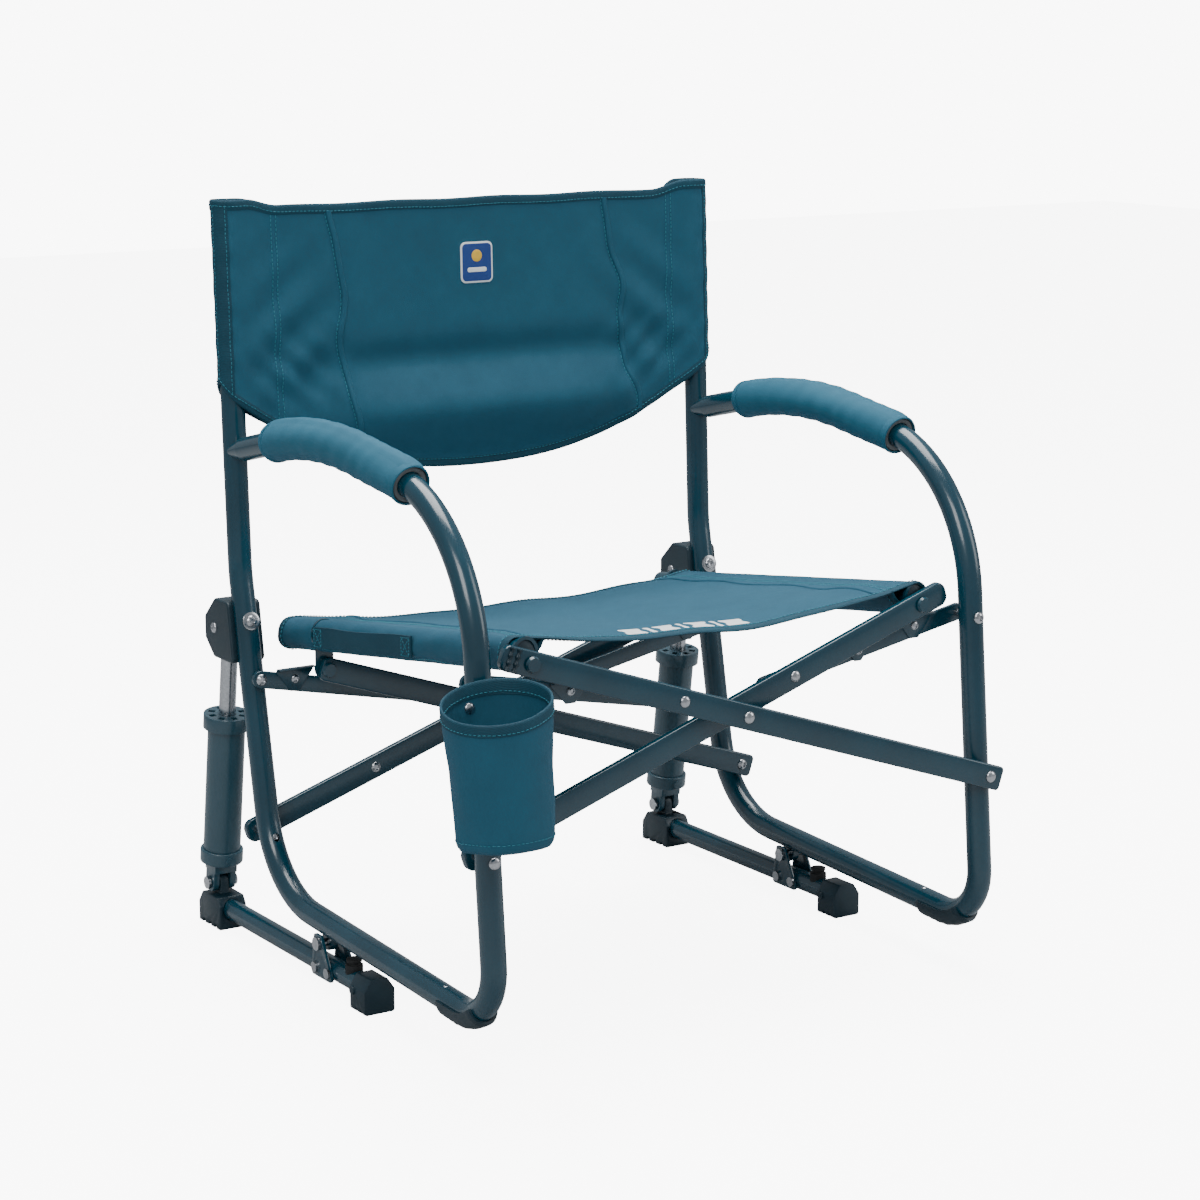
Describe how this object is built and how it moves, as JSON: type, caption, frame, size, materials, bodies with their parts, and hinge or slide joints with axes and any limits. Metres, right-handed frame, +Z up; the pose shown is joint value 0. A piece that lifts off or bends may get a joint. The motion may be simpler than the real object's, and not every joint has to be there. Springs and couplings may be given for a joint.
{
  "type": "folding camp rocking chair",
  "caption": "Low folding camp rocking chair: bent tube sides, scissor frame, sprung rocking feet, fabric seat and back, padded arms, cup holder.",
  "frame": {"origin": "middle of the open chair's footprint box, on the floor", "axes": "+Z up, the chair faces -Y, +X to the right as seen from the front"},
  "size_m": [0.6784, 0.702, 0.7814],
  "materials": {
    "frame_paint": "glossy teal powder coat",
    "shock_paint": "satin grey-teal paint",
    "chrome": "polished",
    "dark_plastic": "moulded, very dark teal",
    "black_rubber": "matte",
    "canvas": "woven polyester",
    "binding": "woven webbing",
    "pad_cloth": "foam-backed polyester",
    "patch": "woven patch"
  },
  "bodies": {
    "left_frame": {"left_side_tube": "frame_paint", "left_frame_pins": "chrome", "left_post_cap": "dark_plastic", "left_foot_guard": "dark_plastic", "left_arm_pad": "pad_cloth", "left_back_pocket": "canvas", "left_shock_bracket": "dark_plastic", "left_pivot_lug": "frame_paint", "back_cloth": "canvas", "badge": "patch", "cup_holder": "canvas"},
    "right_frame": {"right_side_tube": "frame_paint", "right_frame_pins": "chrome", "right_post_cap": "dark_plastic", "right_foot_guard": "dark_plastic", "right_arm_pad": "pad_cloth", "right_back_pocket": "canvas", "right_shock_bracket": "dark_plastic", "right_pivot_lug": "frame_paint"},
    "left_foot": {"left_foot_tube": "frame_paint", "left_front_cap": "dark_plastic", "left_rear_foot": "dark_plastic", "left_pivot_plates": "frame_paint", "left_foot_bolts": "chrome", "left_bumper": "black_rubber"},
    "left_shock": {"left_swivel": "shock_paint", "left_cylinder": "shock_paint", "left_top_collar": "shock_paint"},
    "left_rod": {"left_rod": "chrome"},
    "left_rail": {"left_seat_rail": "frame_paint", "left_rail_plugs": "dark_plastic", "left_rail_brackets": "frame_paint", "left_seat_sleeve": "binding", "seat_cloth": "canvas", "pull_handle": "binding"},
    "right_foot": {"right_foot_tube": "frame_paint", "right_front_cap": "dark_plastic", "right_rear_foot": "dark_plastic", "right_pivot_plates": "frame_paint", "right_foot_bolts": "chrome", "right_bumper": "black_rubber"},
    "right_shock": {"right_swivel": "shock_paint", "right_cylinder": "shock_paint", "right_top_collar": "shock_paint"},
    "right_rod": {"right_rod": "chrome"},
    "right_rail": {"right_seat_rail": "frame_paint", "right_rail_plugs": "dark_plastic", "right_rail_brackets": "frame_paint", "right_seat_sleeve": "binding"},
    "bar_a": {"bar_a": "frame_paint"},
    "bar_b": {"bar_b": "frame_paint", "front_cross_pin": "chrome"},
    "bar_c": {"bar_c": "frame_paint", "rear_cross_pin": "chrome"},
    "bar_d": {"bar_d": "frame_paint"},
    "front_left_link": {"front_left_link": "frame_paint"},
    "front_right_link": {"front_right_link": "frame_paint"},
    "rear_left_link": {"rear_left_link": "frame_paint"},
    "rear_right_link": {"rear_right_link": "frame_paint"}
  },
  "joints": [
    {"name": "fold", "type": "hinge", "parent": "left_frame", "child": "bar_b", "pos_m": [-0.26575, -0.21575, 0.21], "axis": [0, -1, 0], "range_deg": [0, 52], "deforming": ["back_cloth", "badge", "cup_holder", "seat_cloth"]},
    {"name": "front_cross", "type": "hinge", "parent": "bar_b", "child": "bar_a", "pos_m": [0.02425, -0.23853, 0.30703], "axis": [0, -1, 0], "range_deg": [-106, 2]},
    {"name": "right_leg_pivot", "type": "hinge", "parent": "bar_a", "child": "right_frame", "pos_m": [0.31425, -0.25596, 0.21], "axis": [0, -1, 0], "range_deg": [-1, 53]},
    {"name": "left_rail_pivot", "type": "hinge", "parent": "bar_a", "child": "left_rail", "pos_m": [-0.21175, -0.22435, 0.386], "axis": [0, -1, 0], "range_deg": [-1, 53]},
    {"name": "right_rail_pivot", "type": "hinge", "parent": "bar_b", "child": "right_rail", "pos_m": [0.26025, -0.20688, 0.386], "axis": [0, -1, 0], "range_deg": [-53, 1]},
    {"name": "left_post_pivot", "type": "hinge", "parent": "left_frame", "child": "bar_c", "pos_m": [-0.26575, 0.23508, 0.128], "axis": [0, -1, 0], "range_deg": [-1, 53]},
    {"name": "rear_cross", "type": "hinge", "parent": "bar_c", "child": "bar_d", "pos_m": [0.02425, 0.23508, 0.22503], "axis": [0, -1, 0], "range_deg": [-106, 2]},
    {"name": "front_left_link_pivot", "type": "hinge", "parent": "left_frame", "child": "front_left_link", "pos_m": [-0.26575, -0.20415, 0.37], "axis": [0, -1, 0], "range_deg": [-1, 75.62]},
    {"name": "front_right_link_pivot", "type": "hinge", "parent": "right_frame", "child": "front_right_link", "pos_m": [0.31425, -0.19715, 0.37], "axis": [0, -1, 0], "range_deg": [-75.62, 1]},
    {"name": "rear_left_link_pivot", "type": "hinge", "parent": "left_frame", "child": "rear_left_link", "pos_m": [-0.26575, 0.22045, 0.291], "axis": [0, -1, 0], "range_deg": [-1, 75.62]},
    {"name": "rear_right_link_pivot", "type": "hinge", "parent": "right_frame", "child": "rear_right_link", "pos_m": [0.31425, 0.21345, 0.291], "axis": [0, -1, 0], "range_deg": [-75.62, 1]},
    {"name": "left_rock", "type": "hinge", "parent": "left_frame", "child": "left_foot", "pos_m": [-0.26575, 0.07573, 0.0474], "axis": [1, 0, 0], "range_deg": [-6.2, 10], "stiffness_Nm_per_rad": 220},
    {"name": "left_shock_swivel", "type": "hinge", "parent": "left_foot", "child": "left_shock", "pos_m": [-0.26575, 0.32803, 0.047], "axis": [1, 0, 0], "range_deg": [-10, 9]},
    {"name": "left_rod_slide", "type": "slide", "parent": "left_shock", "child": "left_rod", "axis": [0, -0.1371, 0.9906], "range_m": [-0.046, 0.037]},
    {"name": "right_rock", "type": "hinge", "parent": "right_frame", "child": "right_foot", "pos_m": [0.31425, 0.07573, 0.0474], "axis": [1, 0, 0], "range_deg": [-6.2, 10], "stiffness_Nm_per_rad": 220},
    {"name": "right_shock_swivel", "type": "hinge", "parent": "right_foot", "child": "right_shock", "pos_m": [0.31425, 0.32803, 0.047], "axis": [1, 0, 0], "range_deg": [-10, 9]},
    {"name": "right_rod_slide", "type": "slide", "parent": "right_shock", "child": "right_rod", "axis": [0, -0.1371, 0.9906], "range_m": [-0.046, 0.037]}
  ],
  "couplings": [
    {"joint": "front_cross", "follows": "fold", "ratio": -2},
    {"joint": "right_leg_pivot", "follows": "fold", "ratio": 1},
    {"joint": "left_rail_pivot", "follows": "fold", "ratio": 1},
    {"joint": "right_rail_pivot", "follows": "fold", "ratio": -1},
    {"joint": "left_post_pivot", "follows": "fold", "ratio": 1},
    {"joint": "rear_cross", "follows": "fold", "ratio": -2},
    {"joint": "front_left_link_pivot", "follows": "fold", "ratio": 1.435},
    {"joint": "front_right_link_pivot", "follows": "fold", "ratio": -1.435},
    {"joint": "rear_left_link_pivot", "follows": "fold", "ratio": 1.435},
    {"joint": "rear_right_link_pivot", "follows": "fold", "ratio": -1.435},
    {"joint": "right_rock", "follows": "left_rock", "ratio": 1},
    {"joint": "left_shock_swivel", "follows": "left_rock", "ratio": -0.90207},
    {"joint": "left_rod_slide", "follows": "left_rock", "m_per_rad": -0.25014},
    {"joint": "right_shock_swivel", "follows": "left_rock", "ratio": -0.90207},
    {"joint": "right_rod_slide", "follows": "left_rock", "m_per_rad": -0.25014}
  ]
}
